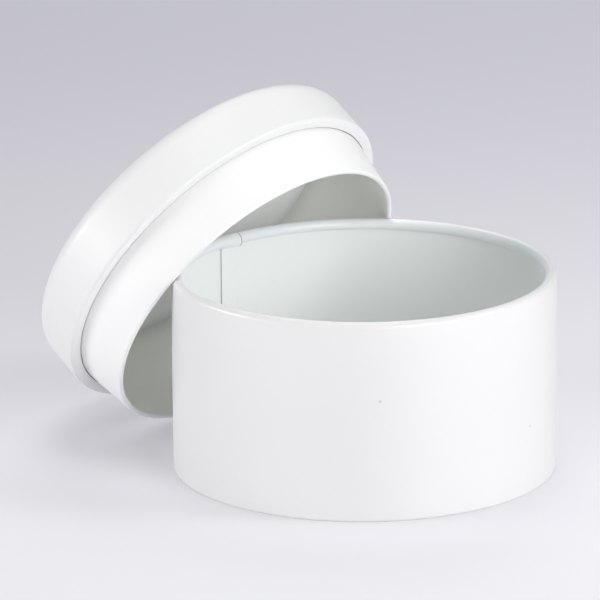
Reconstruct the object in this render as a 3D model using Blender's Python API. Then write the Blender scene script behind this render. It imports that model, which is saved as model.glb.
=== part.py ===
"""Round tinplate box with a plug lid that leans against it.

Lengths are in metres. The box stands on z = 0 with its axis on world Z.
The lid is described in its own frame (origin in the middle of its shoulder, +Z toward the
cap's top) and is carried by an empty that leans it on the floor and on the box's rim.
"""
import math

import bmesh
import bpy

MM = 0.001

SHEET = 0.5 * MM            # modelled sheet thickness
STEPS = 72                  # facets round each ring

# box
BOX_R = 65.0 * MM           # outer radius
BOX_H = 68.5 * MM           # floor to the top of the rim curl
RIM_TUBE_R = 1.9 * MM       # outer radius of the rim curl
RIM_TURN = math.radians(290.0)
FOOT_CORNER_R = 1.15 * MM
FOOT_INNER_R = 60.5 * MM    # free edge of the turned-in foot

# side seam
SEAM_A0 = math.radians(132.0)
SEAM_A1 = math.radians(139.1)
SEAM_DEPTH = 0.45 * MM
SEAM_LOW = 5.8 * MM
LAP_A0 = math.radians(131.4)
LAP_A1 = math.radians(141.2)
LAP_TUBE_R = 2.2 * MM       # outer radius where the rim curl is doubled

# bottom disc
PANEL_Z = 2.25 * MM
PANEL_R = 58.5 * MM
PAN_FLANGE_Z = 1.05 * MM
PAN_CORNER_R = 0.65 * MM
PAN_R = 63.95 * MM
PAN_TOP = 5.0 * MM

# lid, in its own frame
CAP_R = 65.0 * MM
CAP_H = 21.4 * MM
CAP_CORNER_R = 6.3 * MM
LIP_R = 1.15 * MM
SHOULDER_INNER_R = 61.2 * MM
TOP_R = 58.5 * MM           # edge of the flat top
TOP_GAP = 0.3 * MM          # clearance between the flat top and the skirt's corner
COLLAR_BASE_R = 60.9 * MM   # outer radius at the shoulder
COLLAR_MOUTH_R = 58.4 * MM  # outer radius at the free edge
COLLAR_L = 18.9 * MM
COLLAR_TUBE_R = 0.9 * MM
COLLAR_TURN = math.radians(250.0)
COLLAR_TOP_R = 58.9 * MM
COLLAR_TOP_Z = 20.3 * MM

# where the lid leans
LID_POS = (-47.55 * MM, 46.41 * MM, 59.16 * MM)
LID_TILT = math.radians(-56.78)
LID_HEADING = math.radians(-44.32)


def arc(cx, cz, r, a0, a1, n):
    """Points on a circular arc from angle a0 to a1, both ends included."""
    return [(cx + r * math.cos(a0 + (a1 - a0) * i / n),
             cz + r * math.sin(a0 + (a1 - a0) * i / n)) for i in range(n + 1)]


def sheet_outline(path, t, on_axis=False):
    """Closed outline of a sheet of thickness t that follows a centre path."""
    left, right = [], []
    for i, (x, z) in enumerate(path):
        ax, az = path[max(i - 1, 0)]
        bx, bz = path[min(i + 1, len(path) - 1)]
        d0 = (x - ax, z - az) if i > 0 else (bx - x, bz - z)
        d1 = (bx - x, bz - z) if i < len(path) - 1 else d0
        n0 = (-d0[1] / math.hypot(*d0), d0[0] / math.hypot(*d0))
        n1 = (-d1[1] / math.hypot(*d1), d1[0] / math.hypot(*d1))
        m = (n0[0] + n1[0], n0[1] + n1[1])
        k = t / (m[0] * m[0] + m[1] * m[1])
        left.append((x + m[0] * k, z + m[1] * k))
        right.append((x - m[0] * k, z - m[1] * k))
    if on_axis:
        left[0], right[0] = (0.0, left[0][1]), (0.0, right[0][1])
    return left + right[::-1]


def material(name, colour, rough):
    mat = bpy.data.materials.new(name)
    mat.use_nodes = True
    shader = mat.node_tree.nodes["Principled BSDF"]
    shader.inputs["Base Color"].default_value = (*colour, 1.0)
    shader.inputs["Metallic"].default_value = 0.0
    shader.inputs["Roughness"].default_value = rough
    return mat


def new_object(name, mesh, mat):
    obj = bpy.data.objects.new(name, mesh)
    bpy.context.scene.collection.objects.link(obj)
    if mat is not None:
        obj.data.materials.append(mat)
    return obj


def ring(name, outline, mat, closed=True):
    """Turn an outline once round Z with a Screw modifier."""
    mesh = bpy.data.meshes.new(name)
    n = len(outline)
    edges = [(i, i + 1) for i in range(n - 1)]
    if closed:
        edges.append((n - 1, 0))
    mesh.from_pydata([(x, 0.0, z) for x, z in outline], edges, [])
    obj = new_object(name, mesh, mat)
    screw = obj.modifiers.new("turn", 'SCREW')
    screw.axis = 'Z'
    screw.angle = 2.0 * math.pi
    screw.steps = STEPS
    screw.render_steps = STEPS
    screw.use_merge_vertices = True
    screw.merge_threshold = 0.00001
    screw.use_normal_calculate = True
    return obj


def sector(name, outline, a0, a1, n):
    """Closed solid: an outline swept round Z from angle a0 to a1, with flat ends."""
    bm = bmesh.new()
    rows = []
    for j in range(n + 1):
        a = a0 + (a1 - a0) * j / n
        rows.append([bm.verts.new((x * math.cos(a), x * math.sin(a), z)) for x, z in outline])
    m = len(outline)
    for j in range(n):
        for i in range(m):
            k = (i + 1) % m
            bm.faces.new((rows[j][i], rows[j][k], rows[j + 1][k], rows[j + 1][i]))
    bm.faces.new(rows[0])
    bm.faces.new(rows[n][::-1])
    bmesh.ops.recalc_face_normals(bm, faces=bm.faces)
    mesh = bpy.data.meshes.new(name)
    bm.to_mesh(mesh)
    bm.free()
    obj = new_object(name, mesh, None)
    obj.hide_render = True
    obj.display_type = 'WIRE'
    return obj


def apply_modifiers(obj):
    """Replace an object's mesh by its evaluated form."""
    graph = bpy.context.evaluated_depsgraph_get()
    mesh = bpy.data.meshes.new_from_object(obj.evaluated_get(graph))
    obj.modifiers.clear()
    obj.data = mesh


def face_out(obj):
    """Make every face look outward."""
    bm = bmesh.new()
    bm.from_mesh(obj.data)
    bmesh.ops.recalc_face_normals(bm, faces=bm.faces)
    bm.to_mesh(obj.data)
    bm.free()


def smooth(obj):
    bpy.ops.object.select_all(action='DESELECT')
    obj.select_set(True)
    bpy.context.view_layer.objects.active = obj
    bpy.ops.object.shade_smooth()
    obj.data.set_sharp_from_angle(angle=math.radians(35.0))


def add_union(obj, tool):
    cut = obj.modifiers.new("join_" + tool.name, 'BOOLEAN')
    cut.operation = 'UNION'
    cut.solver = 'EXACT'
    cut.object = tool


def box_wall():
    """Foot, straight wall and inward curl in one sheet, with the side seam on its inside."""
    half = SHEET / 2
    face = BOX_R - half
    foot = BOX_R - FOOT_CORNER_R
    rim_x, rim_z = BOX_R - RIM_TUBE_R, BOX_H - RIM_TUBE_R
    path = [(FOOT_INNER_R, half)]
    path += arc(foot, FOOT_CORNER_R, FOOT_CORNER_R - half, -math.pi / 2, 0.0, 3)
    path += arc(rim_x, rim_z, RIM_TUBE_R - half, 0.0, RIM_TURN, 14)
    wall = ring("box_wall", sheet_outline(path, SHEET), material("wall_lacquer", (0.80, 0.80, 0.79), 0.35))
    apply_modifiers(wall)
    face_out(wall)
    inner = BOX_R - SHEET
    top = rim_z - RIM_TUBE_R - 0.3 * MM
    strip = [(inner - SEAM_DEPTH, SEAM_LOW), (inner + 0.15 * MM, SEAM_LOW),
             (inner + 0.15 * MM, top), (inner - SEAM_DEPTH, top)]
    seam = sector("seam_strip", strip, SEAM_A0, SEAM_A1, 3)
    lap_path = arc(rim_x, rim_z, LAP_TUBE_R - half, math.radians(62.0), math.radians(283.0), 11)
    lap = sector("rim_lap", sheet_outline(lap_path, SHEET), LAP_A0, LAP_A1, 3)
    add_union(wall, seam)
    add_union(wall, lap)
    apply_modifiers(wall)
    for tool in (seam, lap):
        bpy.data.objects.remove(tool, do_unlink=True)
    return wall


def box_bottom():
    """Shallow pressed pan: raised panel, flange on the foot and a short upright edge."""
    path = [(0.0, PANEL_Z), (PANEL_R, PANEL_Z), (PANEL_R + 1.2 * MM, PAN_FLANGE_Z)]
    path += arc(PAN_R - PAN_CORNER_R, PAN_FLANGE_Z + PAN_CORNER_R, PAN_CORNER_R, -math.pi / 2, 0.0, 3)
    path.append((PAN_R, PAN_TOP))
    mat = material("bottom_lacquer", (0.78, 0.78, 0.77), 0.4)
    pan = ring("box_bottom", sheet_outline(path, SHEET, on_axis=True), mat, closed=False)
    return pan


def cap_top():
    """Flat round top of the cap."""
    z = CAP_H - SHEET / 2
    path = [(0.0, z), (TOP_R, z)]
    mat = material("cap_lacquer", (0.82, 0.82, 0.81), 0.35)
    return ring("cap_top", sheet_outline(path, SHEET, on_axis=True), mat, closed=False)


def cap_skirt():
    """Large rounded corner, skirt, rounded lip and turned-in shoulder."""
    half = SHEET / 2
    path = [(TOP_R + TOP_GAP, CAP_H - half)]
    path += arc(CAP_R - CAP_CORNER_R, CAP_H - CAP_CORNER_R, CAP_CORNER_R - half, math.radians(88.0), 0.0, 7)
    path += arc(CAP_R - LIP_R, LIP_R, LIP_R - half, 0.0, -math.pi / 2, 3)
    path.append((SHOULDER_INNER_R, half))
    mat = material("skirt_lacquer", (0.82, 0.82, 0.81), 0.35)
    return ring("cap_skirt", sheet_outline(path, SHEET), mat)


def lid_collar():
    """Plug sleeve: hidden part in the cap, tapered sleeve, curled free edge."""
    half = SHEET / 2
    base = COLLAR_BASE_R - half
    path = [(COLLAR_TOP_R, COLLAR_TOP_Z), (base, 0.0)]
    cx, cz = COLLAR_MOUTH_R - COLLAR_TUBE_R, COLLAR_TUBE_R - COLLAR_L
    path += arc(cx, cz, COLLAR_TUBE_R - half, 0.0, -COLLAR_TURN, 10)
    mat = material("collar_lacquer", (0.84, 0.84, 0.83), 0.3)
    return ring("lid_collar", sheet_outline(path, SHEET), mat)


def main():
    for obj in list(bpy.data.objects):
        bpy.data.objects.remove(obj, do_unlink=True)
    box = [box_wall(), box_bottom()]
    lid = [cap_top(), cap_skirt(), lid_collar()]
    for obj in box[1:] + lid:
        apply_modifiers(obj)
        face_out(obj)
    for obj in box + lid:
        smooth(obj)
    carrier = bpy.data.objects.new("lid_frame", None)
    bpy.context.scene.collection.objects.link(carrier)
    carrier.location = LID_POS
    carrier.rotation_euler = (0.0, LID_TILT, LID_HEADING)
    for obj in lid:
        obj.parent = carrier


main()
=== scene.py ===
"""A round lacquered tin with its plug lid leaning on it.

Everything is in metres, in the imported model's frame: the tin stands on z = 0 round the Z axis.
The lid's sheets are worked out in the lid's own frame (origin in the middle of the shoulder,
+Z toward the cap's top) and then carried to where the lid leans.
"""

import math

import bpy
import numpy as np
from mathutils import Matrix, Vector

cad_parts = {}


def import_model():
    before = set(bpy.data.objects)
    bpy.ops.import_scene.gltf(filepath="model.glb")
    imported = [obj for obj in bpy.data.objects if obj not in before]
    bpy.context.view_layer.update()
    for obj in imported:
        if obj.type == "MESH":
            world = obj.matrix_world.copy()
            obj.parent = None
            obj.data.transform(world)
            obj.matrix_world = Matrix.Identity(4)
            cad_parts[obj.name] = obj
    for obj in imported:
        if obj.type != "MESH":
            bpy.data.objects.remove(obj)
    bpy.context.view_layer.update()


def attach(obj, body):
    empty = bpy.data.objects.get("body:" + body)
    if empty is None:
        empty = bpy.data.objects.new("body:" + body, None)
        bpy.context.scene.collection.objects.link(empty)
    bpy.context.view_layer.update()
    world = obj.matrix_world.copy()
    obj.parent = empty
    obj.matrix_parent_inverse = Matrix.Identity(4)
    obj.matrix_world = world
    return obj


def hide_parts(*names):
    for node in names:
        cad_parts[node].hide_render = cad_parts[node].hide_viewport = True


MM = 0.001

# tin
TIN_R = 65.0 * MM
TIN_H = 68.5 * MM
SHEET = 0.5 * MM
RIM_R = 1.9 * MM            # rolled rim, outside of the roll
RIM_TURN = 290.0            # degrees of roll
FOOT_R = 1.15 * MM          # bend at the foot
FOOT_EDGE = 60.5 * MM       # free edge of the turned-in foot
SEAM_FROM = 132.0           # side seam, degrees round the tin
SEAM_TO = 139.1
SEAM_DEPTH = 0.38 * MM
SEAM_LOW = 5.9 * MM
SEAM_HIGH = 64.3 * MM
SEAM_STEP = 0.16            # share of the seam's width over which its face rises
LAP_FROM = 133.0            # doubled stretch of the rolled rim
LAP_TO = 141.2
LAP_R = 2.4 * MM
LAP_DROP = 0.45 * MM        # how far the doubled roll sags below the single one
LAP_THIN = 0.06 * MM
LAP_END_STRIP = 0.04              # share of the lap, at its thick end, drawn as a dark strip in the cut-edge finish
LAP_ARC = (48.0, 285.0)     # degrees round the roll that the lap covers
LAP_SAG_AT = 245.0          # degrees round the roll where the lap sags most
ROLL_SHOWS = 1.75 * MM      # the roll's paler, bluish lacquer, a painted reflection, starts this far in from the wall's face

# bottom
PANEL_Z = 2.25 * MM
PANEL_R = 58.5 * MM
PAN_Z = 1.05 * MM
PAN_BEND = 0.65 * MM
PAN_R = 63.95 * MM
PAN_TOP = 5.0 * MM

# lid
CAP_R = 65.0 * MM
CAP_H = 21.4 * MM
CAP_BEND = 6.3 * MM
LIP_R = 1.15 * MM
SHOULDER_EDGE = 61.0 * MM   # sits close round the collar
PLUG_BASE_R = 60.9 * MM
PLUG_MOUTH_R = 58.4 * MM
PLUG_L = 18.9 * MM
PLUG_ROLL = 0.9 * MM
PLUG_TURN = 250.0
PLUG_TOP_R = 58.9 * MM
PLUG_TOP_Z = 20.95 * MM     # soldered to the cap's top
LID_AT = (-47.55 * MM, 46.41 * MM, 59.16 * MM)
LID_TILT = -56.78
LID_HEADING = -44.32

ROUND = 288                 # columns round each sheet

# small marks on the wall: x, y, z, radius
WALL_MARKS = ((4.4 * MM, -64.85 * MM, 41.7 * MM, 0.7 * MM),
              (54.8 * MM, -35.0 * MM, 23.65 * MM, 0.7 * MM))

CUT_EDGE = 2                # material place of a bare cut edge
ROLL_REFLECTION = 3                  # material place of the rolled rim's outer side, lacquered paler and bluish as a painted reflection

JOINT_SHADE = 0.80                # tone left right at the lid's soldered joint, painted shade of the crease there
JOINT_SHADE_WIDTH = 7.0 * MM
DUST = (0.42, 0.41, 0.40, 1.0)
MARK = (0.40, 0.40, 0.41, 1.0)

FLOOR_TONE = 0.62           # floor's own colour
FLOOR_GLOW = 0.24           # light the floor gives off, painted light that lifts the floor's shadows and lights the tin from below
FLOOR_REACH = 6.0           # half the floor's width

CAMERA_AT = (-21.63 * MM, -2164.3 * MM, 691.97 * MM)
CAMERA_DOWN = 0.28503       # radians below level
CAMERA_ROLL = -0.008166
CAMERA_LENS = 401.4
LIGHT_AWAY = 1.8
LIGHT_AIM_Z = 0.03
ROOM = (0.985, 0.99, 1.0, 1.0)
ROOM_STRENGTH = 0.215
# name, azimuth, elevation in degrees, watts, width, height
LIGHTS = (("light_top", -90, 88, 9.2, 0.9, 0.9),
          ("light_back", 90, 45, 7.0, 0.9, 0.9),
          ("light_right", -10, 35, 8.2, 0.5, 0.5),
          ("light_low_front", -60, 12, 19.6, 0.9, 0.9),
          ("light_low_left", 185, 10, 16.2, 0.9, 0.35))


# ---------------------------------------------------------------- profiles

def arc(cx, cz, r, a0, a1, n):
    """Points (cx + r cos a, cz + r sin a) for n + 1 even angles from a0 to a1, in degrees."""
    a = np.radians(np.linspace(a0, a1, n + 1))
    return np.stack([cx + r * np.cos(a), cz + r * np.sin(a)], 1)


def straight(p, q, n):
    """n + 1 even points p + (q - p) t on the straight from p to q."""
    t = np.linspace(0.0, 1.0, n + 1)[:, None]
    return np.array(p) * (1 - t) + np.array(q) * t


def joined(*parts):
    """The parts one after another, with repeated points dropped."""
    path = np.concatenate(parts)
    step = np.linalg.norm(np.diff(path, axis=0), axis=1)
    return path[np.concatenate([[True], step > 1e-7])]


def sideways(path):
    """Unit normals to the left of a path, from the mean direction of its two neighbours."""
    d = np.diff(path, axis=0)
    d /= np.linalg.norm(d, axis=1)[:, None]
    d = np.concatenate([d[:1], d[:-1] + d[1:], d[-1:]])
    d /= np.linalg.norm(d, axis=1)[:, None]
    return np.stack([-d[:, 1], d[:, 0]], 1)


def sheet_edge(path, t, n=6):
    """Outline of a sheet: the path moved t/2 to each side, its two ends closed by half circles.

    Returns the outline and, for each point, +1 on the left side, -1 on the right, 0 on an end."""
    s = sideways(path)
    left, right = path + s * t / 2, path - s * t / 2
    a = np.linspace(0.0, math.pi, n + 1)[1:-1, None]
    fore = np.array([s[-1, 1], -s[-1, 0]])
    back = -np.array([s[0, 1], -s[0, 0]])
    far_end = path[-1] + t / 2 * (np.cos(a) * s[-1] + np.sin(a) * fore)
    near_end = path[0] + t / 2 * (-np.cos(a) * s[0] + np.sin(a) * back)
    side = np.repeat([1.0, 0.0, -1.0, 0.0], [len(left), len(a), len(right), len(a)])
    return np.concatenate([left, far_end, right[::-1], near_end]), side


def half_sheet_edge(path, t, n=6):
    """Outline of a disc-like sheet whose path starts on the axis: left side out, right side back."""
    outline, side = sheet_edge(path, t, n)
    m = 2 * len(path) + n - 1
    outline, side = outline[:m].copy(), side[:m]
    outline[0, 0] = outline[-1, 0] = 0.0
    return outline, side


# ---------------------------------------------------------------- meshes

def outward(verts, faces):
    """The faces, all turned round if the volume they enclose comes out negative."""
    total = 0.0
    for size in {len(f) for f in faces}:
        f = np.array([g for g in faces if len(g) == size])
        for k in range(1, size - 1):
            across = np.cross(verts[f[:, k]], verts[f[:, k + 1]])
            total += np.einsum('ij,ij->', verts[f[:, 0]], across)
    return faces if total > 0 else [f[::-1] for f in faces]


def put_mesh(name, verts, faces, place, mats, matrix=None):
    """Mesh object at the origin from vertex and face arrays, smooth, with its material places."""
    if matrix is not None:
        m = np.array(matrix)
        verts = verts @ m[:3, :3].T + m[:3, 3]
    mesh = bpy.data.meshes.new(name)
    mesh.from_pydata(verts.tolist(), [], faces)
    for mat in mats:
        mesh.materials.append(mat)
    mesh.polygons.foreach_set("material_index", np.asarray(place, dtype=np.int32))
    mesh.polygons.foreach_set("use_smooth", np.ones(len(faces), dtype=bool))
    mesh.update()
    obj = bpy.data.objects.new(name, mesh)
    bpy.context.scene.collection.objects.link(obj)
    return obj


def places(kind_a, kind_b):
    """Material place of each quad from the sides of its two outline points.

    Sides of unlike sign make a free edge. Sides 1, -1 and -2 give places 0, 1 and ROLL_REFLECTION."""
    same = np.where(np.sign(kind_a) == np.sign(kind_b), np.maximum(kind_a, kind_b), 0)
    return np.choose(np.abs(same - 1).astype(int), [0, CUT_EDGE, 1, ROLL_REFLECTION])


def turned(name, outline, side, mats, matrix=None, poles=False, columns=ROUND):
    """Outline (x, z) carried once round Z: (x cos a, x sin a, z).

    The left side of the sheet takes material place 0, the right side 1 or ROLL_REFLECTION, a free edge
    CUT_EDGE. With poles, the outline's first and last points lie on Z and close as fans."""
    body = slice(1, len(outline) - 1) if poles else slice(0, len(outline))
    ring, kind = outline[body], side[body]
    m = len(ring)
    a = np.arange(columns) * 2 * math.pi / columns
    verts = np.stack([np.outer(np.cos(a), ring[:, 0]), np.outer(np.sin(a), ring[:, 0]),
                      np.broadcast_to(ring[:, 1], (columns, m))], 2).reshape(-1, 3)
    i, j = np.meshgrid(np.arange(m - 1 if poles else m), np.arange(columns))
    i1, j1 = (i + 1) % m, (j + 1) % columns
    quads = np.stack([j * m + i, j1 * m + i, j1 * m + i1, j * m + i1], 2).reshape(-1, 4)
    place = places(kind[i], kind[i1]).ravel()
    faces = quads.tolist()
    if poles:
        first, last = len(verts), len(verts) + 1
        verts = np.concatenate([verts, [[0, 0, outline[0, 1]], [0, 0, outline[-1, 1]]]])
        k = np.arange(columns)
        k1 = (k + 1) % columns
        fan0 = np.stack([np.full(columns, first), k1 * m, k * m], 1)
        fan1 = np.stack([np.full(columns, last), k * m + m - 1, k1 * m + m - 1], 1)
        faces += fan0.tolist() + fan1.tolist()
        place = np.concatenate([place, np.zeros(columns), np.ones(columns)])
    return put_mesh(name, verts, outward(verts, faces), place, mats, matrix)


def closed_band(name, front, back, place, mats):
    """Closed strip between two grids of points of shape (steps, n, 3): front, back, their joining
    edges and two ends. place(j, i) is the material place of quad i of step j round the section."""
    grid = np.concatenate([front, back[:, ::-1]], 1)
    steps, m = grid.shape[:2]
    n = m // 2
    i, j = np.meshgrid(np.arange(m), np.arange(steps - 1))
    i1 = (i + 1) % m
    quads = np.stack([j * m + i, (j + 1) * m + i, (j + 1) * m + i1, j * m + i1], 2).reshape(-1, 4)
    k = np.arange(n - 1)
    low = np.stack([k, k + 1, m - 2 - k, m - 1 - k], 1)
    high = (steps - 1) * m + low[:, ::-1]
    faces = quads.tolist() + low.tolist() + high.tolist()
    kinds = np.concatenate([place(j.ravel(), i.ravel()), np.zeros(2 * (n - 1))])
    verts = grid.reshape(-1, 3)
    obj = put_mesh(name, verts, outward(verts, faces), kinds, mats)
    obj.data.set_sharp_from_angle(angle=math.radians(40.0))
    return obj


# ---------------------------------------------------------------- shader words

class Val:
    """A shader value: Python arithmetic on it adds Math nodes."""

    def __init__(self, finish, socket):
        self.finish, self.socket = finish, socket

    def _math(self, op, a, b):
        return self.finish.make("ShaderNodeMath", {"operation": op}, {0: a, 1: b})

    def __add__(self, o):
        return self._math('ADD', self, o)

    def __radd__(self, o):
        return self._math('ADD', o, self)

    def __sub__(self, o):
        return self._math('SUBTRACT', self, o)

    def __rsub__(self, o):
        return self._math('SUBTRACT', o, self)

    def __mul__(self, o):
        return self._math('MULTIPLY', self, o)

    def __rmul__(self, o):
        return self._math('MULTIPLY', o, self)

    def __truediv__(self, o):
        return self._math('DIVIDE', self, o)

    def __pow__(self, o):
        return self._math('POWER', self, o)

    def most(self, o):
        return self._math('MAXIMUM', self, o)

    def ramp(self, low, high, to_low=0.0, to_high=1.0):
        """Smooth step of the value from low..high to to_low..to_high."""
        return self.finish.make("ShaderNodeMapRange", {"interpolation_type": 'SMOOTHSTEP'},
                                {"Value": self, "From Min": low, "From Max": high,
                                 "To Min": to_low, "To Max": to_high})


class Finish:
    """A material being built round its Principled shader."""

    def __init__(self, name):
        self.mat = bpy.data.materials.new(name)
        self.mat.use_nodes = True
        self.tree = self.mat.node_tree
        self.shader = self.tree.nodes["Principled BSDF"]

    def make(self, kind, settings=None, sockets=None, out=0):
        """Adds a node: its settings first, then the values or links of its sockets."""
        node = self.tree.nodes.new(kind)
        for key, value in (settings or {}).items():
            setattr(node, key, value)
        for key, value in (sockets or {}).items():
            self.feed(node.inputs[key], value)
        return Val(self, node.outputs[out])

    def feed(self, socket, value):
        if isinstance(value, Val):
            self.tree.links.new(value.socket, socket)
        else:
            socket.default_value = value

    def place(self):
        return self.make("ShaderNodeTexCoord", out="Object")

    def noise(self, at, scale, detail=2.0, rough=0.5, stretch=None):
        if stretch is not None:
            at = self.make("ShaderNodeMapping", {}, {"Vector": at, "Scale": stretch})
        return self.make("ShaderNodeTexNoise", {}, {"Vector": at, "Scale": scale, "Detail": detail,
                                                    "Roughness": rough}, out="Fac")

    def blend(self, mask, a, b):
        return self.make("ShaderNodeMix", {"data_type": 'RGBA'}, {0: mask, 6: a, 7: b}, out=2)

    def scaled(self, colour, factor):
        return self.make("ShaderNodeVectorMath", {"operation": 'SCALE'}, {0: colour, "Scale": factor})

    def bump(self, height, depth, under=None):
        sockets = {"Height": height, "Distance": depth, "Strength": 1.0}
        if under is not None:
            sockets["Normal"] = under
        return self.make("ShaderNodeBump", {}, sockets)

    def set(self, **sockets):
        for key, value in sockets.items():
            self.feed(self.shader.inputs[key.replace("_", " ")], value)
        return self.mat


def rgba(r, g, b):
    return (r, g, b, 1.0)


def joint_painted_shade(f, at):
    """Factor that darkens lacquer toward the ring where the collar is soldered to the cap, painted
    shade of the crease at that joint.

    With d = point - LID_AT, z = d . axis and r = sqrt(|d|^2 - z^2), the distance from the ring is
    sqrt((r - PLUG_TOP_R)^2 + (z - PLUG_TOP_Z)^2)."""
    axis = lid_matrix().to_3x3() @ Vector((0.0, 0.0, 1.0))
    d = f.make("ShaderNodeVectorMath", {"operation": 'SUBTRACT'}, {0: at, 1: LID_AT})
    z = f.make("ShaderNodeVectorMath", {"operation": 'DOT_PRODUCT'},
               {0: d, 1: tuple(axis)}, out="Value")
    far = f.make("ShaderNodeVectorMath", {"operation": 'LENGTH'}, {0: d}, out="Value")
    r = (far * far - z * z).most(0.0) ** 0.5
    off = (r - PLUG_TOP_R) ** 2.0 + (z - PLUG_TOP_Z) ** 2.0
    return (off ** 0.5).ramp(-3.0 * MM, JOINT_SHADE_WIDTH, JOINT_SHADE, 1.0)


def lacquer(name, pale, deep, rough=0.42, coat=0.15, marks=(), shade_at_joint=False):
    """Stoved lacquer on tinplate: faint cloudy tone, uneven gloss, orange peel, long soft
    ripples of the thin sheet, sunk dust grains and a few small marks.

    Each mark is (x, y, z, radius). Lacquer can also be darkened round the lid's soldered joint,
    painted shade of the crease there."""
    f = Finish(name)
    at = f.place()
    cloud = f.noise(at, 9.0, 3.0, 0.5)
    fine = f.noise(at, 140.0, 2.0, 0.6)
    colour = f.blend(cloud.ramp(0.35, 0.68), rgba(*pale), rgba(*deep))
    grains = f.make("ShaderNodeTexVoronoi", {"feature": 'F1'},
                    {"Vector": at, "Scale": 95.0, "Randomness": 1.0}, out="Distance")
    grain = grains.ramp(0.03, 0.055, 1.0, 0.0) * f.noise(at, 23.0, 0.0).ramp(0.66, 0.70)
    colour = f.blend(grain * 0.25, colour, DUST)
    dent = grain
    for x, y, z, radius in marks:
        away = f.make("ShaderNodeVectorMath", {"operation": 'DISTANCE'},
                      {0: at, 1: (x, y, z)}, out="Value")
        mark = (away + (fine - 0.5) * radius).ramp(0.45 * radius, radius, 1.0, 0.0)
        colour = f.blend(mark * 0.5, colour, MARK)
        dent = dent.most(mark)
    # painted shade: lacquer darkened toward the crease where the collar meets the cap
    if shade_at_joint:
        colour = f.scaled(colour, joint_painted_shade(f, at))
    gloss = rough + (cloud - 0.5) * 0.10 + (fine - 0.5) * 0.05
    skin = f.bump(f.noise(at, 420.0, 2.0, 0.5), 0.012 * MM)
    ripple = f.bump(f.noise(at, 14.0, 1.0, 0.4), 0.10 * MM, under=skin)
    return f.set(Base_Color=colour, Roughness=gloss, Normal=f.bump(dent, -0.04 * MM, under=ripple),
                 Metallic=0.0, IOR=1.5, Coat_Weight=coat, Coat_Roughness=0.25)


def bare_edge():
    """Cut tinplate edge: grey steel, drawn by the shears, dulled."""
    f = Finish("cut_tinplate")
    at = f.place()
    streak = f.noise(at, 900.0, 3.0, 0.6, stretch=(1.0, 1.0, 0.15))
    colour = f.blend(streak, rgba(0.30, 0.30, 0.31), rgba(0.50, 0.50, 0.51))
    return f.set(Base_Color=colour, Roughness=0.45 + streak * 0.2, Metallic=0.3,
                 Normal=f.bump(streak, 0.01 * MM))


# ---------------------------------------------------------------- the tin

def wall_sheet(mats):
    """Turned-in foot, straight wall and rim rolled inward through RIM_TURN degrees, one sheet.

    The path runs up the middle of the sheet; its right side is the outside. Side -2 is the part of
    the outside that lies on the roll, ROLL_SHOWS or more in from the wall's face, lacquered paler and
    bluish as a painted reflection."""
    h = SHEET / 2
    rx, rz = TIN_R - RIM_R, TIN_H - RIM_R
    path = joined(straight((FOOT_EDGE, h), (TIN_R - FOOT_R, h), 4),
                  arc(TIN_R - FOOT_R, FOOT_R, FOOT_R - h, -90, 0, 8),
                  straight((TIN_R - h, FOOT_R), (TIN_R - h, rz), 16),
                  arc(rx, rz, RIM_R - h, 0, RIM_TURN, 44))
    outline, side = sheet_edge(path, SHEET)
    side[(side < 0) & (outline[:, 0] < TIN_R - ROLL_SHOWS) & (outline[:, 1] > FOOT_R * 2)] = -2
    obj = turned("wall_sheet", outline, side, mats)
    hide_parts("box_wall")
    return obj


def seam_fold(mats):
    """Side seam: a flat fold on the wall's inside, carried straight up the wall.

    Its face stands off the wall by depth * min(s / SEAM_STEP, 1) ** 0.6, where s runs 0 to 1
    across."""
    inner = TIN_R - SHEET
    turn = np.radians(np.linspace(SEAM_FROM, SEAM_TO, 25))
    s = np.linspace(0.0, 1.0, 25)
    near = inner - 0.03 * MM - SEAM_DEPTH * np.clip(s / SEAM_STEP, 0, 1) ** 0.6
    far = np.full_like(s, inner - 0.02 * MM)
    z = np.linspace(SEAM_LOW, SEAM_HIGH, 41)

    def wall_points(r):
        one = np.stack([r * np.cos(turn), r * np.sin(turn), np.zeros_like(r)], 1)
        return one[None] + np.stack([0 * z, 0 * z, z], 1)[:, None]

    return closed_band("seam_fold", wall_points(near), wall_points(far),
                       lambda j, i: np.where(i == len(s) - 1, CUT_EDGE, 0), mats)


def rim_lap(mats):
    """Doubled stretch of the rolled rim, where one end of the blank is rolled over the other.

    About the roll's centre the outer surface is a circle of radius LAP_R whose centre has sagged
    by d, so r(a) = d cos(a - f) + sqrt(LAP_R^2 - d^2 sin^2(a - f)). What stands above the single
    roll shrinks by (1 - t)^0.7 toward the lap's far end, and is never thinner than LAP_THIN."""
    a = np.radians(np.linspace(*LAP_ARC, 60))
    sag = a - math.radians(LAP_SAG_AT)
    t = np.concatenate([[0.0, LAP_END_STRIP, 2 * LAP_END_STRIP], np.linspace(3 * LAP_END_STRIP, 1.0, 20)])
    turn = np.radians(LAP_FROM + (LAP_TO - LAP_FROM) * t)
    full = LAP_DROP * np.cos(sag) + np.sqrt(LAP_R ** 2 - (LAP_DROP * np.sin(sag)) ** 2) - RIM_R
    outer = RIM_R + np.maximum(np.outer((1 - t) ** 0.7, full), LAP_THIN)
    inner = np.full_like(outer, RIM_R + 0.02 * MM)

    def round_points(r):
        x = TIN_R - RIM_R + r * np.cos(a)
        z = TIN_H - RIM_R + r * np.sin(a)
        return np.stack([np.cos(turn)[:, None] * x, np.sin(turn)[:, None] * x, z], 2)

    # the lap's first step round the tin is a dark strip in the cut-edge finish; the rest takes the
    # rolled rim's paler, bluish lacquer, a painted reflection
    return closed_band("rim_lap", round_points(outer), round_points(inner),
                       lambda j, i: np.where(j == 0, CUT_EDGE, ROLL_REFLECTION), mats)


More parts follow.
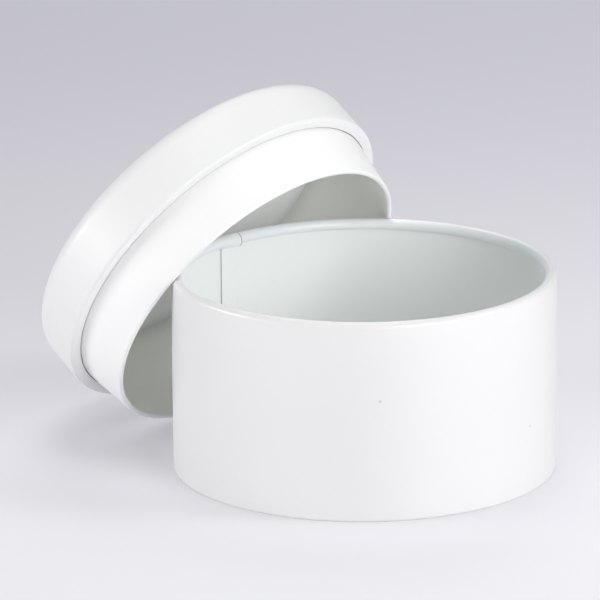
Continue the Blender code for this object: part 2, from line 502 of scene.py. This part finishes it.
def bottom_pan(mats):
    """Pressed bottom: raised panel, step to the flange, short upright edge."""
    path = joined(straight((0, PANEL_Z), (PANEL_R - 8 * MM, PANEL_Z), 10),
                  straight((PANEL_R - 8 * MM, PANEL_Z), (PANEL_R, PANEL_Z), 4),
                  straight((PANEL_R, PANEL_Z), (PANEL_R + 1.2 * MM, PAN_Z), 4),
                  straight((PANEL_R + 1.2 * MM, PAN_Z), (PAN_R - PAN_BEND, PAN_Z), 4),
                  arc(PAN_R - PAN_BEND, PAN_Z + PAN_BEND, PAN_BEND, -90, 0, 8),
                  straight((PAN_R, PAN_Z + PAN_BEND), (PAN_R, PAN_TOP), 4))
    outline, side = half_sheet_edge(path, SHEET)
    obj = turned("bottom_pan", outline, side, mats, poles=True)
    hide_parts("box_bottom")
    return obj


# ---------------------------------------------------------------- the lid

def lid_matrix():
    """From the lid's own frame to where it leans."""
    tilt = Matrix.Rotation(math.radians(LID_TILT), 4, 'Y')
    heading = Matrix.Rotation(math.radians(LID_HEADING), 4, 'Z')
    return Matrix.Translation(Vector(LID_AT)) @ heading @ tilt


def cap_sheet(mats, where):
    """Drawn cap: flat top, large rounded corner, skirt, rounded lip and turned-in shoulder."""
    h = SHEET / 2
    cx, cz = CAP_R - CAP_BEND, CAP_H - CAP_BEND
    path = joined(straight((0, CAP_H - h), (cx, CAP_H - h), 14),
                  arc(cx, cz, CAP_BEND - h, 90, 0, 28),
                  straight((CAP_R - h, cz), (CAP_R - h, LIP_R), 8),
                  arc(CAP_R - LIP_R, LIP_R, LIP_R - h, 0, -90, 10),
                  straight((CAP_R - LIP_R, h), (SHOULDER_EDGE + h, h), 4))
    outline, side = half_sheet_edge(path, SHEET)
    obj = turned("cap_sheet", outline, side, mats, matrix=where, poles=True)
    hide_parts("cap_top", "cap_skirt")
    return obj


def plug_sheet(mats, where):
    """Plug collar: sleeve from the cap's top down to the mouth, its edge rolled inward."""
    h = SHEET / 2
    base = PLUG_BASE_R - h
    cx, cz = PLUG_MOUTH_R - PLUG_ROLL, PLUG_ROLL - PLUG_L
    path = joined(straight((PLUG_TOP_R, PLUG_TOP_Z), (base, 0.0), 16),
                  straight((base, 0.0), (PLUG_MOUTH_R - h, cz), 16),
                  arc(cx, cz, PLUG_ROLL - h, 0, -PLUG_TURN, 30))
    outline, side = sheet_edge(path, SHEET)
    obj = turned("plug_sheet", outline, side, mats, matrix=where)
    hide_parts("lid_collar")
    return obj


# ---------------------------------------------------------------- stage

def floor():
    """Plain pale floor giving off a little painted light that lifts its shadows. It is a little
    darker and cooler toward the back and the left; the darkening is painted shade of the light's
    falloff.
    """
    f = Finish("floor_paper")
    at = f.place()
    x = f.make("ShaderNodeSeparateXYZ", {}, {0: at}, out="X")
    y = f.make("ShaderNodeSeparateXYZ", {}, {0: at}, out="Y")
    grain = f.noise(at, 300.0, 2.0)
    far = y.ramp(-0.22, 0.64)
    # painted shade: the floor's colour and glow fall off toward the back and the left
    shade = (1.0 - far * 0.32) * x.ramp(-0.35, 0.25, 0.945, 1.035)
    tint = f.blend(far, rgba(1.009, 1.0, 1.045), rgba(1.012, 1.0, 1.10))
    f.set(Base_Color=f.scaled(tint, shade * FLOOR_TONE), Roughness=0.85 + grain * 0.1,
          Emission_Color=f.scaled(tint, shade * FLOOR_GLOW), Emission_Strength=1.0,
          Normal=f.bump(grain, 0.02 * MM))
    e = FLOOR_REACH
    v = np.array([[-e, -e, 0], [e, -e, 0], [e, e, 0], [-e, e, 0]])
    obj = put_mesh("floor", v, [[0, 1, 2, 3]], [0], [f.mat])


def softbox(name, azimuth, elevation, watts, width, height):
    """Softbox LIGHT_AWAY metres from the tin and aimed at it; angles in degrees."""
    light = bpy.data.lights.new(name, 'AREA')
    light.shape = 'RECTANGLE'
    light.size, light.size_y, light.energy = width, height, watts
    obj = bpy.data.objects.new(name, light)
    bpy.context.scene.collection.objects.link(obj)
    a, e = math.radians(azimuth), math.radians(elevation)
    aim = Vector((math.cos(e) * math.cos(a), math.cos(e) * math.sin(a), math.sin(e)))
    obj.location = aim * LIGHT_AWAY + Vector((0, 0, LIGHT_AIM_Z))
    obj.rotation_euler = (-aim).to_track_quat('-Z', 'Y').to_euler()


def studio():
    """Even pale room, softboxes above, behind and to the right, two low ones front and left."""
    world = bpy.data.worlds.new("studio")
    bpy.context.scene.world = world
    world.use_nodes = True
    back = world.node_tree.nodes["Background"]
    back.inputs["Color"].default_value = ROOM
    back.inputs["Strength"].default_value = ROOM_STRENGTH
    for light in LIGHTS:
        softbox(*light)


def camera():
    """Long lens, looking down about 16 degrees at the tin."""
    cam = bpy.data.cameras.new("camera")
    cam.sensor_width = 36.0
    cam.lens = CAMERA_LENS
    obj = bpy.data.objects.new("camera", cam)
    bpy.context.scene.collection.objects.link(obj)
    turn = Matrix.Rotation(math.pi / 2 - CAMERA_DOWN, 4, 'X') @ Matrix.Rotation(CAMERA_ROLL, 4, 'Z')
    obj.matrix_world = Matrix.Translation(CAMERA_AT) @ turn
    bpy.context.scene.camera = obj


def main():
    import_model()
    scene = bpy.context.scene
    scene.view_settings.view_transform = 'Standard'
    scene.cycles.diffuse_bounces = 8
    edge = bare_edge()
    # The copies of the one white lacquer differ in tone as painted light and shade: the inside,
    # collar and lid-inside copies are paler to lift their shade, the outside and cap copies darker to
    # hold down their light.
    outside = lacquer("white_outside", (0.775, 0.775, 0.775), (0.745, 0.745, 0.745), marks=WALL_MARKS)
    inside = lacquer("white_inside", (0.92, 0.936, 0.931), (0.895, 0.913, 0.907))
    # painted reflection: the rolled rim's lacquer is made paler and bluish
    rolled = lacquer("white_rolled_painted_reflection", (0.87, 0.90, 0.93), (0.85, 0.88, 0.91), rough=0.3)
    cap = lacquer("white_cap", (0.815, 0.815, 0.813), (0.785, 0.785, 0.785), rough=0.5, coat=0.1)
    collar = lacquer("white_collar", (0.905, 0.905, 0.90), (0.875, 0.875, 0.87))
    # both lid-inside copies carry painted shade at the lid's inner crease
    cap_inside = lacquer("white_cap_inside", (0.98, 0.99, 0.975), (0.965, 0.975, 0.96), shade_at_joint=True)
    plug_inside = lacquer("white_collar_inside", (0.965, 0.97, 0.935), (0.945, 0.95, 0.915),
                          shade_at_joint=True)
    tin = [wall_sheet([inside, outside, edge, rolled]), seam_fold([inside, inside, edge]),
           rim_lap([inside, outside, edge, rolled]), bottom_pan([inside, outside, edge])]
    where = lid_matrix()
    lid = [cap_sheet([cap, cap_inside, edge], where), plug_sheet([collar, plug_inside, edge], where)]
    for piece, slot in zip(tin, ("wall_lacquer", "wall_lacquer", "wall_lacquer", "bottom_lacquer")):
        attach(piece, "box")
    for piece, slot in zip(lid, ("cap_lacquer", "collar_lacquer")):
        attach(piece, "lid")
    floor()
    studio()
    camera()


main()
